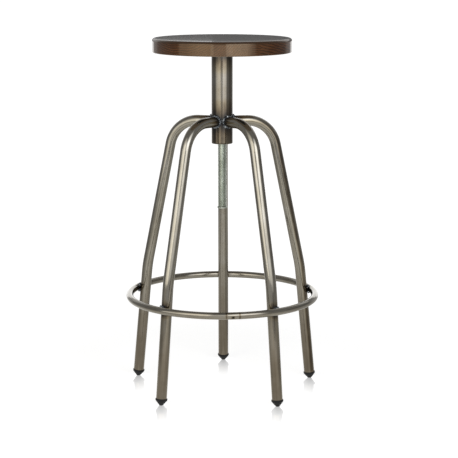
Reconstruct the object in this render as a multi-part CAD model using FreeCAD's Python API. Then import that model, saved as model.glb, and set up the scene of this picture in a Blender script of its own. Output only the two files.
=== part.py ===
import FreeCAD, Part
import math
import os

from FreeCAD import Vector

# Swivel bar stool with a screw lift: a round wooden seat on a threaded rod that turns in a
# centre post, five bent tube legs welded round the post, and a foot ring welded round the legs.
# Millimetres. +Z is up, the origin is on the floor on the post's axis, +Y points to the back leg.
# The seat is modelled at its lowest setting.

# Centre post
POST_DIA = 48.3
POST_WALL = 3.2
POST_BOTTOM = 562.0
POST_LENGTH = 199.7
POST_EDGE_ROUND = 1.6

# Height screw and what guides it inside the post
SCREW_DIA = 20.0
SCREW_RUNNING_GAP = 0.08
SCREW_END_CHAMFER = 1.2
NUT_LENGTH = 42.0
GUIDE_LENGTH = 30.0
GUIDE_DEPTH = 9.0
BUSH_CHAMFER = 1.0

# Stop at the screw's lower end
LIFT_TRAVEL = 143.25
STOP_GAP = 0.25
WASHER_DIA = 22.4
WASHER_THICKNESS = 4.0
WASHER_FLOAT = 0.2
STOP_SCREW_DIA = 6.0
STOP_SCREW_LENGTH = 22.0
STOP_SCREW_HEAD_DIA = 12.0
STOP_SCREW_HEAD_HEIGHT = 3.0

# Seat
SEAT_DIA = 312.5
SEAT_THICKNESS = 32.0
SEAT_TOP_ROUND = 4.0
SEAT_BOTTOM_ROUND = 2.0
PLATE_DIA = 130.0
PLATE_THICKNESS = 4.0
PLATE_EDGE_CHAMFER = 0.8
PLATE_REST_GAP = 0.3
PLATE_WELD_SIZE = 4.0
SEAT_SCREW_COUNT = 6
SEAT_SCREW_CIRCLE_DIA = 104.0
SEAT_SCREW_DIA = 5.0
SEAT_SCREW_HOLE_GAP = 0.25
SEAT_SCREW_DEPTH = 20.0
SEAT_SCREW_POINT = 5.0
SEAT_SCREW_HEAD_DIA = 10.0
SEAT_SCREW_HEAD_HEIGHT = 3.0

# Legs: a level run out of the post, a wide bend, a splayed run, a slight knee, a steeper run
LEG_DIA = 24.0
LEG_WALL = 2.0
LEG_TOP_Z = 612.0
LEG_BEND_RADIUS = 70.0
LEG_UPPER_SLOPE = 11.9
KNEE_Z = 271.0
KNEE_RADIUS = 350.0
LEG_LOWER_SLOPE = 5.66
FOOT_CIRCLE_DIA = 424.7
FIRST_LEG_BEARING = 87.6
LEG_NAMES = ("back", "left", "front_left", "front_right", "right")
# How far each leg was tacked from its even mark, in degrees
LEG_TACK_OFFSETS = (1.6, -0.3, -1.4, 1.3, -1.2)
LEG_WELD_SIZE = 3.4
LEG_WELD_ROUND = 2.6

# Plastic glides plugged into the legs
GLIDE_HEIGHT = 15.6
GLIDE_RIM_DIA = 26.8
GLIDE_RIM_HEIGHT = 4.0
GLIDE_RIM_ROUND = 1.0
GLIDE_TIP_DIA = 8.0
GLIDE_TIP_ROUND = 2.5
GLIDE_PLUG_LENGTH = 20.0
GLIDE_PLUG_CHAMFER = 2.0

# Foot ring round the outside of the legs
RING_Z = 214.4
RING_TUBE_DIA = 16.0
RING_WALL = 2.0
RING_ROOT_GAP = 0.2
RING_SEAM_BEARING = 276.0
RING_VENT_DIA = 2.6
# How far below level the vent points
RING_VENT_DIP = 20.0
RING_WELD_DIA = 7.0
RING_WELD_LENGTH = 12.0
# How far each weld spot lies inside the ring tube's top or bottom
RING_WELD_INSET = 1.6

# Places worked out from the sizes above
UP = Vector(0, 0, 1)
OUT = Vector(1, 0, 0)
SIDE = Vector(0, 1, 0)
ORIGIN = Vector(0, 0, 0)
POST_RADIUS = POST_DIA / 2
POST_BORE_RADIUS = POST_RADIUS - POST_WALL
POST_TOP = POST_BOTTOM + POST_LENGTH
SCREW_RADIUS = SCREW_DIA / 2
BUSH_BORE_RADIUS = SCREW_RADIUS + SCREW_RUNNING_GAP
PLATE_BOTTOM = POST_TOP + PLATE_REST_GAP
SEAT_BOTTOM = PLATE_BOTTOM + PLATE_THICKNESS
WASHER_TOP = POST_BOTTOM - STOP_GAP - LIFT_TRAVEL
SCREW_BOTTOM = WASHER_TOP + WASHER_FLOAT
WASHER_BOTTOM = WASHER_TOP - WASHER_THICKNESS
LEG_RADIUS = LEG_DIA / 2
LEG_BORE_RADIUS = LEG_RADIUS - LEG_WALL
FOOT_CIRCLE_RADIUS = FOOT_CIRCLE_DIA / 2
RING_TUBE_RADIUS = RING_TUBE_DIA / 2
UPPER_SLOPE = math.radians(LEG_UPPER_SLOPE)
LOWER_SLOPE = math.radians(LEG_LOWER_SLOPE)
KNEE_R = FOOT_CIRCLE_RADIUS - KNEE_Z * math.tan(LOWER_SLOPE)
BEND_R = KNEE_R - (LEG_TOP_Z - KNEE_Z) * math.tan(UPPER_SLOPE)
LEG_R_AT_RING = FOOT_CIRCLE_RADIUS - RING_Z * math.tan(LOWER_SLOPE)
RING_RADIUS = LEG_R_AT_RING + (LEG_RADIUS + RING_ROOT_GAP + RING_TUBE_RADIUS) / math.cos(LOWER_SLOPE)
LEG_STEP = 360.0 / len(LEG_NAMES)
LEG_BEARINGS = [FIRST_LEG_BEARING + LEG_STEP * i + off for i, off in enumerate(LEG_TACK_OFFSETS)]


def rod(radius, start, direction, length):
    """Solid round bar."""
    return Part.makeCylinder(radius, length, start, direction)


def turned(points):
    """Solid turned about the Z axis from a closed outline of (radius, height) points."""
    corners = [Vector(r, 0, z) for r, z in points]
    face = Part.Face(Part.makePolygon(corners + corners[:1]))
    return face.revolve(ORIGIN, UP, 360)


def chamfered_bar(radius, bottom, top, low_chamfer, high_chamfer):
    """Round bar on the Z axis with a chamfer on each end."""
    outline = [(0, bottom), (radius - low_chamfer, bottom), (radius, bottom + low_chamfer)]
    outline += [(radius, top - high_chamfer), (radius - high_chamfer, top), (0, top)]
    return turned(outline)


def around_z(shape, bearing):
    """Copy of a shape turned about the post's axis."""
    copy = shape.copy()
    copy.rotate(ORIGIN, UP, bearing)
    return copy


def circular_edges(shape, radius):
    """Edges of a turned shape that lie on circles of the given radius."""
    found = []
    for edge in shape.Edges:
        if isinstance(edge.Curve, Part.Circle) and math.isclose(edge.Curve.Radius, radius, abs_tol=1e-6):
            found.append(edge)
    return found


def swept_tube(outer_radius, bore_radius, start, path):
    """Tube in the XZ plane that leaves start along +X and bends downwards.

    The path is a list of (run length, bend radius, bend angle in degrees)."""
    pieces = []
    place = start
    heading = 0.0
    for run, bend_radius, bend_angle in path:
        along = Vector(math.cos(heading), 0, -math.sin(heading))
        section = Part.Face(Part.Wire(Part.makeCircle(outer_radius, place, along)))
        section = section.cut(Part.Face(Part.Wire(Part.makeCircle(bore_radius, place, along))))
        pieces.append(section.extrude(along * run))
        place = place + along * run
        if bend_angle > 0:
            centre = place + Vector(-math.sin(heading), 0, -math.cos(heading)) * bend_radius
            end_section = section.translated(along * run)
            pieces.append(end_section.revolve(centre, SIDE, bend_angle))
            turn = FreeCAD.Rotation(SIDE, bend_angle)
            place = centre + turn.multVec(place - centre)
            heading += math.radians(bend_angle)
    return pieces[0].multiFuse(pieces[1:]).removeSplitter()


def leg_path():
    """Runs and bends of a leg, from the post's axis to the top of its glide."""
    bend_angle = 90.0 - LEG_UPPER_SLOPE
    knee_angle = LEG_UPPER_SLOPE - LEG_LOWER_SLOPE
    bend_reach = LEG_BEND_RADIUS * math.tan(math.radians(bend_angle) / 2)
    knee_reach = KNEE_RADIUS * math.tan(math.radians(knee_angle) / 2)
    upper_length = (LEG_TOP_Z - KNEE_Z) / math.cos(UPPER_SLOPE)
    lower_length = KNEE_Z / math.cos(LOWER_SLOPE)
    return [
        (BEND_R - bend_reach, LEG_BEND_RADIUS, bend_angle),
        (upper_length - bend_reach - knee_reach, KNEE_RADIUS, knee_angle),
        (lower_length - knee_reach - GLIDE_HEIGHT, 0, 0),
    ]


def leg(bearing):
    """One bent leg, its upper end coped to the post."""
    tube = swept_tube(LEG_RADIUS, LEG_BORE_RADIUS, Vector(0, 0, LEG_TOP_Z), leg_path())
    return around_z(tube.cut(rod(POST_RADIUS, Vector(0, 0, POST_BOTTOM), UP, POST_LENGTH)), bearing)


def glide(bearing):
    """Plastic glide: a plug in the leg, a rim under the tube's end and a round-tipped cone, level below."""
    plug_top = GLIDE_HEIGHT + GLIDE_PLUG_LENGTH
    rim_radius = GLIDE_RIM_DIA / 2
    rim_bottom = GLIDE_HEIGHT - GLIDE_RIM_HEIGHT
    tip_radius = GLIDE_TIP_DIA / 2
    flare = (rim_radius - tip_radius) / rim_bottom
    below_floor = rim_radius * math.tan(LOWER_SLOPE)
    body = turned([
        (0, -below_floor),
        (tip_radius - flare * below_floor, -below_floor),
        (rim_radius, rim_bottom),
        (rim_radius, GLIDE_HEIGHT),
        (LEG_BORE_RADIUS, GLIDE_HEIGHT),
        (LEG_BORE_RADIUS, plug_top - GLIDE_PLUG_CHAMFER),
        (LEG_BORE_RADIUS - GLIDE_PLUG_CHAMFER, plug_top),
        (0, plug_top),
    ])
    body = body.makeFillet(GLIDE_RIM_ROUND, circular_edges(body, rim_radius))
    body.rotate(ORIGIN, SIDE, -LEG_LOWER_SLOPE)
    body.translate(OUT * FOOT_CIRCLE_RADIUS)
    floor = Part.makeBox(GLIDE_RIM_DIA, GLIDE_RIM_DIA, GLIDE_RIM_DIA)
    floor.translate(Vector(FOOT_CIRCLE_RADIUS - rim_radius, -rim_radius, -GLIDE_RIM_DIA))
    body = body.cut(floor)
    tip = [edge for edge in body.Edges if edge.BoundBox.ZMax < GLIDE_TIP_ROUND / 10]
    return around_z(body.makeFillet(GLIDE_TIP_ROUND, tip), bearing)


def leg_welds():
    """Beads that run round the five coped leg ends and flow into one another on the post."""
    post = rod(POST_RADIUS, Vector(0, 0, POST_BOTTOM), UP, POST_LENGTH)
    bead_reach = POST_RADIUS + LEG_WELD_SIZE
    # The seam line of this cylinder is turned away, so that the bead's rim is one closed edge
    weld_zone = around_z(rod(bead_reach, Vector(0, 0, POST_BOTTOM), UP, POST_LENGTH), 180)
    start = Vector(0, 0, LEG_TOP_Z)
    bead = rod(LEG_RADIUS + LEG_WELD_SIZE, start, OUT, 2 * bead_reach).common(weld_zone).Solids[0]
    rim = [edge for edge in bead.Edges if edge.isClosed() and edge.BoundBox.XMax > POST_RADIUS]
    bead = bead.makeFillet(LEG_WELD_ROUND, rim)
    leg_end = rod(LEG_RADIUS, start, OUT, 2 * bead_reach)
    beads = [around_z(bead, bearing) for bearing in LEG_BEARINGS]
    ends = [around_z(leg_end, bearing) for bearing in LEG_BEARINGS]
    return beads[0].multiFuse(beads[1:]).cut([post] + ends).removeSplitter()


def ring_weld_spots():
    """Weld spots above and below the ring where it touches each leg."""
    up_leg = Vector(-math.sin(LOWER_SLOPE), 0, math.cos(LOWER_SLOPE))
    leg_run = rod(LEG_RADIUS, OUT * FOOT_CIRCLE_RADIUS, up_leg, KNEE_Z)
    ring_bar = Part.makeTorus(RING_RADIUS, RING_TUBE_RADIUS, Vector(0, 0, RING_Z), UP)
    spots = []
    for side in (1, -1):
        rise = side * (RING_TUBE_RADIUS - RING_WELD_INSET)
        ring_face = RING_RADIUS - math.sqrt(RING_TUBE_RADIUS ** 2 - rise ** 2)
        leg_face = LEG_R_AT_RING - rise * math.tan(LOWER_SLOPE) + LEG_RADIUS / math.cos(LOWER_SLOPE)
        middle = Vector((ring_face + leg_face) / 2, 0, RING_Z + rise)
        reach = SIDE * (RING_WELD_LENGTH / 2)
        radius = RING_WELD_DIA / 2
        spot = rod(radius, middle - reach, SIDE, RING_WELD_LENGTH)
        spot = spot.multiFuse([Part.makeSphere(radius, middle - reach), Part.makeSphere(radius, middle + reach)])
        spots.append(spot.cut([leg_run, ring_bar]))
    return [around_z(spot, bearing) for bearing in LEG_BEARINGS for spot in spots]


def foot_ring():
    """Ring of round tube with a vent hole drilled through its butt seam."""
    middle = Vector(0, 0, RING_Z)
    ring = Part.makeTorus(RING_RADIUS, RING_TUBE_RADIUS, middle, UP)
    ring = ring.cut(Part.makeTorus(RING_RADIUS, RING_TUBE_RADIUS - RING_WALL, middle, UP))
    dip = math.radians(RING_VENT_DIP)
    out_and_down = Vector(math.cos(dip), 0, -math.sin(dip))
    vent = rod(RING_VENT_DIA / 2, Vector(RING_RADIUS, 0, RING_Z), out_and_down, RING_TUBE_DIA)
    return ring.cut(around_z(vent, RING_SEAM_BEARING))


def centre_post():
    """Tube that holds the two bushes, with rounded outer edges."""
    outer = rod(POST_RADIUS, Vector(0, 0, POST_BOTTOM), UP, POST_LENGTH)
    outer = outer.makeFillet(POST_EDGE_ROUND, circular_edges(outer, POST_RADIUS))
    return outer.cut(rod(POST_BORE_RADIUS, Vector(0, 0, POST_BOTTOM), UP, POST_LENGTH))


def bush(bottom, length):
    """Bush in the post's bore that the height screw runs through."""
    top = bottom + length
    return turned([
        (BUSH_BORE_RADIUS + BUSH_CHAMFER, bottom),
        (POST_BORE_RADIUS, bottom),
        (POST_BORE_RADIUS, top),
        (BUSH_BORE_RADIUS + BUSH_CHAMFER, top),
        (BUSH_BORE_RADIUS, top - BUSH_CHAMFER),
        (BUSH_BORE_RADIUS, bottom + BUSH_CHAMFER),
    ])


def height_screw():
    """Screw from the stop washer up to the top of the seat plate, drilled for the stop screw."""
    bar = chamfered_bar(SCREW_RADIUS, SCREW_BOTTOM, SEAT_BOTTOM, SCREW_END_CHAMFER, 0)
    hole_depth = WASHER_BOTTOM + STOP_SCREW_LENGTH - SCREW_BOTTOM
    return bar.cut(rod(STOP_SCREW_DIA / 2, Vector(0, 0, SCREW_BOTTOM), UP, hole_depth))


def stop_screw():
    """Countersunk screw that holds the stop washer on the end of the height screw."""
    head_top = WASHER_BOTTOM + STOP_SCREW_HEAD_HEIGHT
    top = WASHER_BOTTOM + STOP_SCREW_LENGTH
    return turned([
        (0, WASHER_BOTTOM),
        (STOP_SCREW_HEAD_DIA / 2, WASHER_BOTTOM),
        (STOP_SCREW_DIA / 2, head_top),
        (STOP_SCREW_DIA / 2, top),
        (0, top),
    ])


def stop_washer():
    """Countersunk washer that meets the nut when the seat is at its highest."""
    hole = STOP_SCREW_DIA / 2 + SCREW_RUNNING_GAP
    sink = STOP_SCREW_HEAD_DIA / 2 + WASHER_FLOAT
    slant = (sink - hole) / STOP_SCREW_HEAD_HEIGHT
    sink_top = WASHER_BOTTOM + STOP_SCREW_HEAD_HEIGHT + WASHER_FLOAT
    edge = SCREW_END_CHAMFER / 2
    return turned([
        (sink + slant * WASHER_FLOAT, WASHER_BOTTOM),
        (WASHER_DIA / 2 - edge, WASHER_BOTTOM),
        (WASHER_DIA / 2, WASHER_BOTTOM + edge),
        (WASHER_DIA / 2, WASHER_TOP),
        (hole, WASHER_TOP),
        (hole, sink_top),
    ])


def seat_screw_places():
    """Centres of the seat screws on the plate's underside."""
    radius = SEAT_SCREW_CIRCLE_DIA / 2
    step = 2 * math.pi / SEAT_SCREW_COUNT
    angles = [step * (i + 0.5) for i in range(SEAT_SCREW_COUNT)]
    return [Vector(radius * math.cos(a), radius * math.sin(a), PLATE_BOTTOM) for a in angles]


def seat_screw():
    """Pan head wood screw, its head seated on Z = 0."""
    shank = SEAT_SCREW_DIA / 2
    head = SEAT_SCREW_HEAD_DIA / 2
    tip = PLATE_THICKNESS + SEAT_SCREW_DEPTH
    body = turned([
        (0, -SEAT_SCREW_HEAD_HEIGHT),
        (head, -SEAT_SCREW_HEAD_HEIGHT),
        (head, 0),
        (shank, 0),
        (shank, tip - SEAT_SCREW_POINT),
        (0, tip),
    ])
    crown = [edge for edge in circular_edges(body, head) if edge.BoundBox.ZMin < -SEAT_SCREW_HEAD_HEIGHT / 2]
    return body.makeFillet(SEAT_SCREW_HEAD_HEIGHT * 0.7, crown)


def seat_plate():
    """Round steel plate under the seat, with a hole for the height screw and holes for its screws."""
    top = SEAT_BOTTOM
    plate = chamfered_bar(PLATE_DIA / 2, PLATE_BOTTOM, top, PLATE_EDGE_CHAMFER, 0)
    hole_radius = SEAT_SCREW_DIA / 2 + SEAT_SCREW_HOLE_GAP
    holes = [rod(hole_radius, place, UP, PLATE_THICKNESS) for place in seat_screw_places()]
    return plate.cut(holes + [rod(SCREW_RADIUS, Vector(0, 0, PLATE_BOTTOM), UP, PLATE_THICKNESS)])


def screw_weld():
    """Fillet weld that joins the height screw to the underside of the seat plate."""
    return turned([
        (SCREW_RADIUS, PLATE_BOTTOM - PLATE_WELD_SIZE),
        (SCREW_RADIUS + PLATE_WELD_SIZE, PLATE_BOTTOM),
        (SCREW_RADIUS, PLATE_BOTTOM),
    ])


def seat_board(screws):
    """Round solid wood seat with rounded edges and a pilot hole for each screw."""
    board = rod(SEAT_DIA / 2, Vector(0, 0, SEAT_BOTTOM), UP, SEAT_THICKNESS)
    rims = circular_edges(board, SEAT_DIA / 2)
    middle = SEAT_BOTTOM + SEAT_THICKNESS / 2
    board = board.makeFillet(SEAT_TOP_ROUND, [edge for edge in rims if edge.BoundBox.ZMin > middle])
    rims = circular_edges(board, SEAT_DIA / 2)
    board = board.makeFillet(SEAT_BOTTOM_ROUND, [edge for edge in rims if edge.BoundBox.ZMax < middle])
    return board.cut(screws)


def build():
    """All pieces of the stool by name."""
    screws = [seat_screw().translated(place) for place in seat_screw_places()]
    pieces = {
        "seat_board": seat_board(screws),
        "seat_plate": seat_plate(),
        "seat_screws": Part.makeCompound(screws),
        "height_screw": height_screw(),
        "screw_weld": screw_weld(),
        "stop_washer": stop_washer(),
        "stop_screw": stop_screw(),
        "centre_post": centre_post(),
        "guide_bush": bush(POST_TOP - GUIDE_DEPTH - GUIDE_LENGTH, GUIDE_LENGTH),
        "screw_nut": bush(POST_BOTTOM, NUT_LENGTH),
        "foot_ring": foot_ring(),
        "leg_welds": leg_welds(),
        "ring_welds": Part.makeCompound(ring_weld_spots()),
    }
    for name, bearing in zip(LEG_NAMES, LEG_BEARINGS):
        pieces["leg_" + name] = leg(bearing)
        pieces["glide_" + name] = glide(bearing)
    return pieces


os.makedirs("parts", exist_ok=True)
for node, shape in build().items():
    shape.exportStep(f"parts/{node}.step")
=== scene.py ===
import math
import random

import bmesh
import bpy
from mathutils import Matrix, Vector
from mathutils.kdtree import KDTree


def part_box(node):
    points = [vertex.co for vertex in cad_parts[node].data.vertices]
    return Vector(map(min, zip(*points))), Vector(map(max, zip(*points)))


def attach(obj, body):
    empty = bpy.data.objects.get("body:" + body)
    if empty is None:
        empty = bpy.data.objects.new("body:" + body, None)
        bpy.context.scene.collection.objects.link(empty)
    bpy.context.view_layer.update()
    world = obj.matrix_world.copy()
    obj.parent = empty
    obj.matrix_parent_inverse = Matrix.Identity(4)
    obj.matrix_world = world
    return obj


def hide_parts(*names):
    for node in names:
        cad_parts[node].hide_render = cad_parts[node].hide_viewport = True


# Bar stool with a screw lift: a stained oak seat on a zinc-plated screw, a welded frame of
# lacquered bare steel tube, black glides. Metres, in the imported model's frame.
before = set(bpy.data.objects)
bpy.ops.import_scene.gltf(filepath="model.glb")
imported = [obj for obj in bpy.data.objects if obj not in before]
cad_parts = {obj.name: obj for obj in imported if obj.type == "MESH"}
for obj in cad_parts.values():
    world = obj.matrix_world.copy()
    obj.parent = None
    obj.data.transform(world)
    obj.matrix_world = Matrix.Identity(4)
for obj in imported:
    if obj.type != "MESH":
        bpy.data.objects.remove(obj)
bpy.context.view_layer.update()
scene = bpy.context.scene

MM = 0.001
UP = Vector((0, 0, 1))
OUT = Vector((1, 0, 0))
SIDE = Vector((0, 1, 0))
chance = random.Random(11)

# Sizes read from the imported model
POST_LOW, POST_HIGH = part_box("centre_post")
POST_RADIUS = (POST_HIGH.x - POST_LOW.x) / 2
POST_BOTTOM = POST_LOW.z
POST_TOP = POST_HIGH.z
SEAT_LOW, SEAT_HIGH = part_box("seat_board")
SEAT_RADIUS = (SEAT_HIGH.x - SEAT_LOW.x) / 2
PLATE_LOW, PLATE_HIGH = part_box("seat_plate")
PLATE_RADIUS = (PLATE_HIGH.x - PLATE_LOW.x) / 2
SCREW_LOW, SCREW_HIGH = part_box("height_screw")
SCREW_RADIUS = (SCREW_HIGH.x - SCREW_LOW.x) / 2
WASHER_LOW, WASHER_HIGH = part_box("stop_washer")
WASHER_RADIUS = (WASHER_HIGH.x - WASHER_LOW.x) / 2
RING_LOW, RING_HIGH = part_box("foot_ring")
RING_TUBE_RADIUS = (RING_HIGH.z - RING_LOW.z) / 2
RING_RADIUS = -RING_LOW.x - RING_TUBE_RADIUS
RING_Z = (RING_HIGH.z + RING_LOW.z) / 2
NUT_LOW, NUT_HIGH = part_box("screw_nut")
GUIDE_LOW, GUIDE_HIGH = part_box("guide_bush")

# Sizes of the tubes and their bends
POST_WALL = 3.2 * MM
POST_EDGE_ROUND = 1.6 * MM
LEG_RADIUS = 12 * MM
LEG_WALL = 2 * MM
LEG_TOP = 612 * MM
LEG_BEND_RADIUS = 70 * MM
LEG_UPPER_SLOPE = math.radians(11.9)
LEG_LOWER_SLOPE = math.radians(5.66)
KNEE_Z = 271 * MM
KNEE_RADIUS = 350 * MM
FOOT_CIRCLE_RADIUS = 212.35 * MM
LEG_NAMES = ("back", "left", "front_left", "front_right", "right")
LEG_BEARINGS = [math.radians(b) for b in (89.2, 159.3, 230.2, 304.9, 14.4)]
KNEE_R = FOOT_CIRCLE_RADIUS - KNEE_Z * math.tan(LEG_LOWER_SLOPE)
BEND_R = KNEE_R - (LEG_TOP - KNEE_Z) * math.tan(LEG_UPPER_SLOPE)
GLIDE_HEIGHT = 15.6 * MM
GLIDE_RIM_RADIUS = 13.4 * MM
GLIDE_RIM_HEIGHT = 4 * MM
GLIDE_RIM_ROUND = 1 * MM
GLIDE_TIP_RADIUS = 4 * MM
GLIDE_TIP_ROUND = 1.2 * MM
GLIDE_PLUG_LENGTH = 20 * MM
RING_WALL = 2 * MM
RING_SEAM_BEARING = math.radians(276)
RING_VENT_RADIUS = 2.0 * MM
RING_VENT_DIP = math.radians(20)
THREAD_PITCH = 3 * MM
THREAD_DEPTH = 1.6 * MM
BORE_GAP = 0.08 * MM
SMOOTH_ANGLE = math.radians(35)
MERGE_GAP = 0.02 * MM
CUT_GAP = 0.0001 * MM

# How finely the tubes and the seat are drawn: sides round them and steps along each stretch
POST_SIDES, POST_STEPS = 128, 56
LEG_SIDES = 64
LEVEL_STEPS, BEND_STEPS, UPPER_STEPS, KNEE_STEPS, LOWER_STEPS = 12, 28, 16, 8, 48
RING_SIDES, RING_STEPS, SEAM_STEPS = 48, 240, 28
SEAT_SIDES = 256
SEAT_FACE_INSETS = (0.6, 6, 40)

# Sizes of the seat's edge and of the small turned pieces
SEAT_TOP_ROUND = 6.5 * MM
SEAT_FALL = 0.6 * MM
SEAT_FALL_WIDTH = 26 * MM
SEAT_BOTTOM_ROUND = 2 * MM
PLATE_EDGE_CHAMFER = 0.8 * MM
SEAT_SCREW_COUNT = 6
SEAT_SCREW_CIRCLE_RADIUS = 52 * MM
SEAT_SCREW_RADIUS = 2.5 * MM
SEAT_SCREW_HEAD_RADIUS = 5 * MM
SEAT_SCREW_HEAD_HEIGHT = 3 * MM
SEAT_SCREW_HEAD_ROUND = 2.1 * MM
SEAT_SCREW_DEPTH = 20 * MM
SEAT_SCREW_POINT = 5 * MM
STOP_SCREW_RADIUS = 3 * MM
STOP_HEAD_RADIUS = 6 * MM
STOP_HEAD_HEIGHT = 3 * MM
STOP_SCREW_LENGTH = 22 * MM
STOP_HEAD_GAP = 0.2 * MM
WASHER_EDGE_CHAMFER = 0.6 * MM
CROSS_WIDTH = 5.2 * MM
CROSS_SLOT = 1.1 * MM
CROSS_DEPTH = 1.7 * MM


def begin(name, add_primitive, **settings):
    """Adds a primitive as a new piece, its place in its mesh, and opens it for editing."""
    bpy.ops.object.select_all(action="DESELECT")
    add_primitive(**settings)
    bpy.ops.object.transform_apply(location=True, rotation=True, scale=True)
    piece = bpy.context.object
    piece.name = name
    piece.data.name = name
    bpy.ops.object.mode_set(mode="EDIT")
    bpy.ops.mesh.select_mode(type="VERT")
    bpy.ops.mesh.select_all(action="SELECT")
    return piece


def close():
    """Closes the edit of a piece."""
    bpy.ops.object.mode_set(mode="OBJECT")


def end(piece):
    """Merges what meets, turns the faces outwards and closes the edit."""
    bpy.ops.mesh.select_all(action="SELECT")
    bpy.ops.mesh.remove_doubles(threshold=MERGE_GAP)
    bpy.ops.mesh.normals_make_consistent(inside=False)
    close()
    return piece


def activate(piece):
    """Makes a piece the only selected one."""
    bpy.ops.object.select_all(action="DESELECT")
    piece.select_set(True)
    bpy.context.view_layer.objects.active = piece


def reopen(piece):
    """Opens a piece for editing again."""
    activate(piece)
    bpy.ops.object.mode_set(mode="EDIT")


def smooth(piece):
    """Smooth shading with crisp corners."""
    activate(piece)
    bpy.ops.object.shade_smooth_by_angle(angle=SMOOTH_ANGLE)
    return piece


def apply_modifier(piece, kind, **settings):
    """Applies a modifier to the mesh."""
    activate(piece)
    change = piece.modifiers.new(kind.lower(), kind)
    for setting, value in settings.items():
        setattr(change, setting, value)
    bpy.ops.object.modifier_apply(modifier=change.name)


def pick(piece, kind, wanted):
    """In edit mode, selects the edges or the faces that are wanted."""
    bpy.ops.mesh.select_mode(type=kind)
    bpy.ops.mesh.select_all(action="DESELECT")
    shape = bmesh.from_edit_mesh(piece.data)
    for part in shape.edges if kind == "EDGE" else shape.faces:
        if wanted(part):
            part.select_set(True)
    bmesh.update_edit_mesh(piece.data)


def near(value, target):
    """True where a coordinate lies on a place."""
    return abs(value - target) < MERGE_GAP


def copied(piece, name, placing):
    """A copy of a piece with its own mesh, set in place."""
    copy = piece.copy()
    copy.data = piece.data.copy()
    copy.data.transform(placing)
    copy.name = name
    copy.data.name = name
    scene.collection.objects.link(copy)
    return copy


def joined(name, pieces):
    """Several pieces as one."""
    activate(pieces[0])
    for piece in pieces[1:]:
        piece.select_set(True)
    bpy.ops.object.join()
    pieces[0].name = name
    pieces[0].data.name = name
    return pieces[0]


def drawn(name, outline):
    """Opens a new piece with a line through (radius, height) points."""
    radius, height = outline[0]
    piece = begin(name, bpy.ops.mesh.primitive_plane_add, size=MM, location=(radius, 0, height))
    bpy.ops.mesh.merge(type="CENTER")
    for (r0, z0), (r1, z1) in zip(outline, outline[1:]):
        step = (r1 - r0, 0, z1 - z0)
        bpy.ops.mesh.extrude_vertices_move(TRANSFORM_OT_translate={"value": step})
    return piece


def turned(name, outline, sides=64):
    """A piece turned about the Z axis from an outline of (radius, height) points."""
    piece = drawn(name, outline)
    bpy.ops.mesh.select_all(action="SELECT")
    bpy.ops.mesh.spin(steps=sides, angle=2 * math.pi, center=(0, 0, 0), axis=UP)
    return end(piece)


def cut_level(level, **side):
    """In edit mode, cuts a piece level, closes the cut and clears one side of it."""
    bpy.ops.mesh.select_all(action="SELECT")
    bpy.ops.mesh.bisect(plane_co=(0, 0, level), plane_no=UP, use_fill=True, threshold=CUT_GAP, **side)


def cut_away(piece, cutter):
    """Cuts a cutter's shape out of a piece."""
    apply_modifier(piece, "BOOLEAN", object=cutter, operation="DIFFERENCE", solver="EXACT")
    bpy.data.objects.remove(cutter)


def drilled(piece, radius, place, direction, length):
    """Cuts a round hole in a piece."""
    lie = UP.rotation_difference(direction).to_euler()
    size = {"vertices": 24, "radius": radius, "depth": length, "location": place, "rotation": lie}
    cut_away(piece, end(begin("cutter", bpy.ops.mesh.primitive_cylinder_add, **size)))


def run(length, steps):
    """A straight stretch of tube, as (step length, step angle) moves."""
    return [(length / steps, 0)] * steps


def bend(radius, angle, steps):
    """A bent stretch of tube, as (bend radius, step angle) moves."""
    return [(radius, angle / steps)] * steps


def marked(piece, attribute):
    """Each point of a piece, with its mark of an attribute."""
    return zip(piece.data.vertices, piece.data.attributes[attribute].data)


def tube(name, radius, sides, start, heading, turn_axis, moves):
    """A tube's outer skin, extruded and spun along its moves from a circle that faces its heading.

    The attribute straight keeps each point's place in the tube as it was before bending."""
    lie = UP.rotation_difference(heading).to_euler()
    size = {"vertices": sides, "radius": radius, "location": start, "rotation": lie}
    piece = begin(name, bpy.ops.mesh.primitive_circle_add, **size)
    close()
    piece.data.attributes.new("straight", "FLOAT_VECTOR", "POINT")
    piece.data.attributes.new("weld_heat_and_shade", "FLOAT", "POINT")
    across = heading.orthogonal().normalized()
    beside = heading.cross(across)
    for vert, mark in marked(piece, "straight"):
        arm = vert.co - Vector(start)
        mark.vector = (arm.dot(across), arm.dot(beside), 0)
    bpy.ops.object.mode_set(mode="EDIT")
    bpy.ops.mesh.select_all(action="SELECT")
    place = Vector(start)
    travelled = 0
    for size, angle in moves:
        if angle:
            centre = place + turn_axis.cross(heading) * size
            bpy.ops.mesh.spin(steps=1, angle=-angle, center=centre, axis=turn_axis)
            turn = Matrix.Rotation(angle, 3, turn_axis)
            place = centre + turn @ (place - centre)
            heading = turn @ heading
            travelled += size * angle
        else:
            bpy.ops.mesh.extrude_region_move(TRANSFORM_OT_translate={"value": heading * size})
            place = place + heading * size
            travelled += size
        shape = bmesh.from_edit_mesh(piece.data)
        mark = shape.verts.layers.float_vector["straight"]
        for vert in shape.verts:
            if vert.select:
                vert[mark].z = travelled
    return end(piece)


def soften_rim(piece, width, segments, level, radius=None):
    """Rounds a closed piece's edges at a level, of all radii or of one about the Z axis."""
    def on_rim(vert):
        return near(vert.co.z, level) and (radius is None or near(vert.co.xy.length, radius))

    reopen(piece)
    pick(piece, "EDGE", lambda edge: all(on_rim(vert) for vert in edge.verts))
    bpy.ops.mesh.bevel(offset=width, segments=segments, affect="EDGES")
    close()


def add_heat_and_shade(piece, spots, reach, peak=1.0):
    """Raises the attribute of weld heating and painted shade near spots, from 0 at their reach to its peak
    on the spot.
    """
    tree = KDTree(len(spots))
    for index, spot in enumerate(spots):
        tree.insert(spot, index)
    tree.balance()
    for vert, mark in marked(piece, "weld_heat_and_shade"):
        gap = tree.find(vert.co)[2]
        mark.value = max(mark.value, peak * (1 - gap / reach))


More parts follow.
